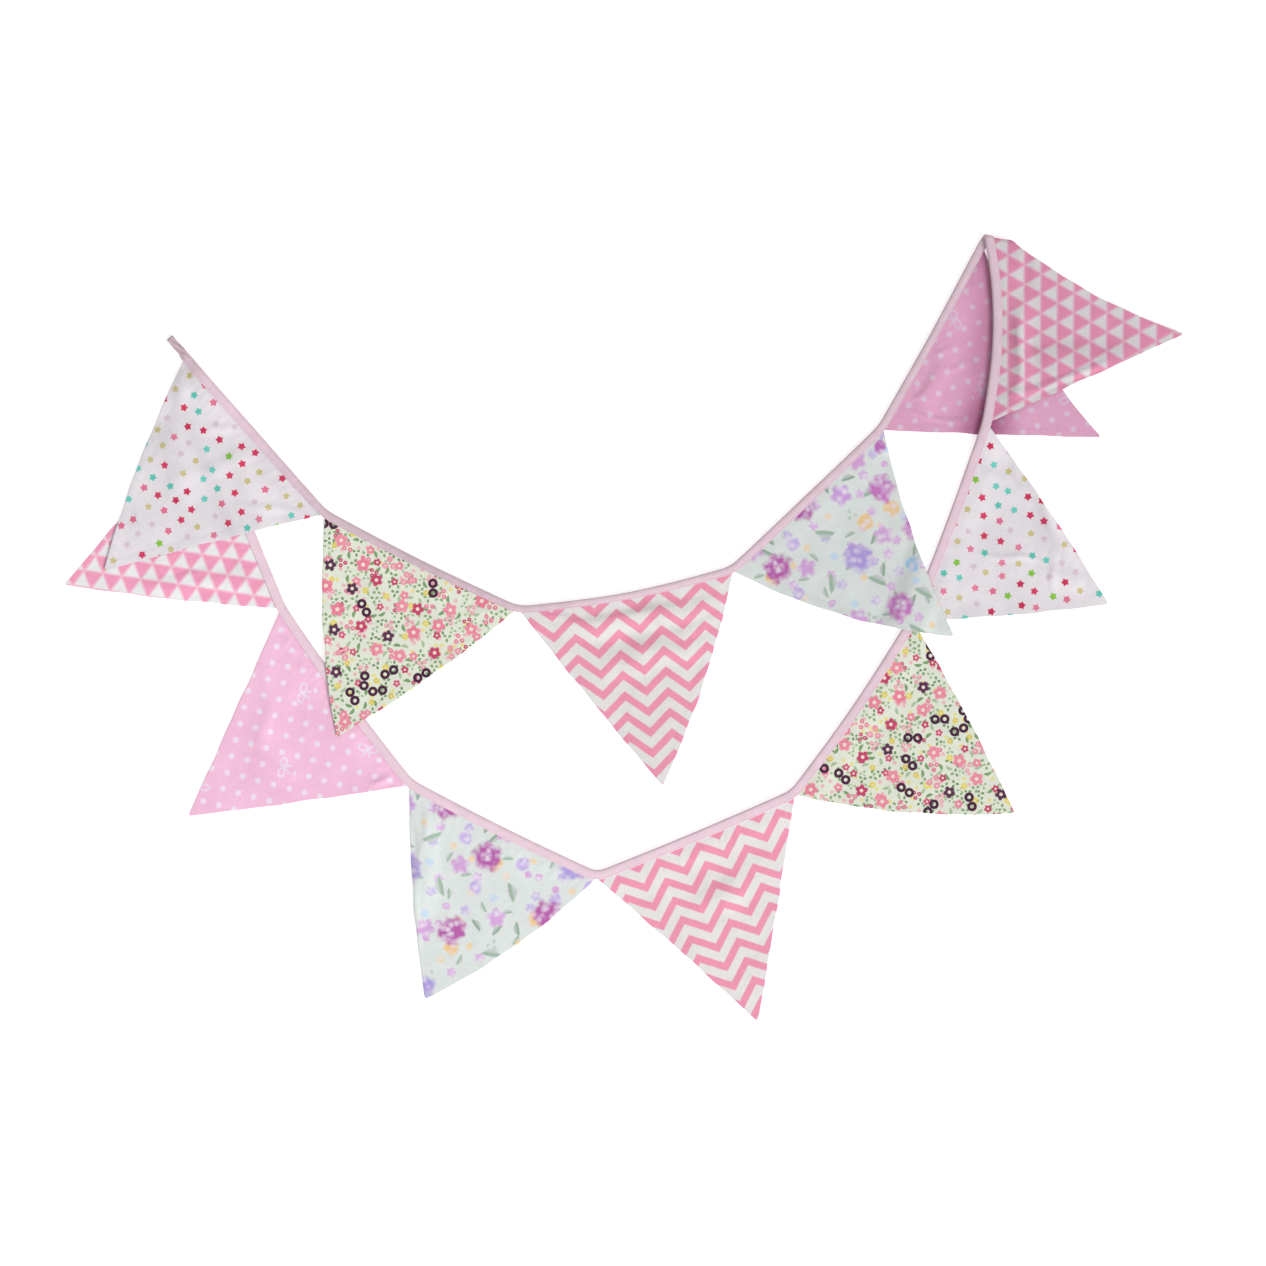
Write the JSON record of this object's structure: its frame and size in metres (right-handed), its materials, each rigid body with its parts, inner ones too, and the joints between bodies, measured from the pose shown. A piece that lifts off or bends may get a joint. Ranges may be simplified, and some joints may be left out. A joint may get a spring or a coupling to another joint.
{
  "type": "fabric bunting",
  "caption": "Fabric bunting of triangular cotton pennants on one folded binding tape, laid flat in two sagging runs with the strip folded over at the peak.",
  "frame": {"origin": "on the surface that it lies on, under the middle of its outline", "axes": "+Z away from the surface, +X along the layout's longest extent with the folded peak at the +X side, +Y towards the folded peak and the free end of the tape"},
  "size_m": [0.9302, 0.6552, 0.0084],
  "materials": {
    "binding_tape": "plain pale lilac-pink cotton tape",
    "star_print": "cotton printed with small scattered stars",
    "sprig_print": "cotton printed with small pink flowers and leaves",
    "chevron_print": "cotton printed with pink and white chevrons",
    "bloom_print": "cotton printed with lilac and purple blooms",
    "bow_print": "pink cotton printed with white dots and bows",
    "triangle_print": "cotton printed with pink and white triangles"
  },
  "bodies": {
    "root": {"binding_tape": "binding_tape", "pennant_01_stars": "star_print", "pennant_02_sprigs": "sprig_print", "pennant_03_chevrons": "chevron_print", "pennant_04_blooms": "bloom_print", "pennant_05_bows": "bow_print", "pennant_06_triangles": "triangle_print", "pennant_07_stars": "star_print", "pennant_08_sprigs": "sprig_print", "pennant_09_chevrons": "chevron_print", "pennant_10_blooms": "bloom_print", "pennant_11_bows": "bow_print", "pennant_12_triangles": "triangle_print"}
  },
  "joints": []
}
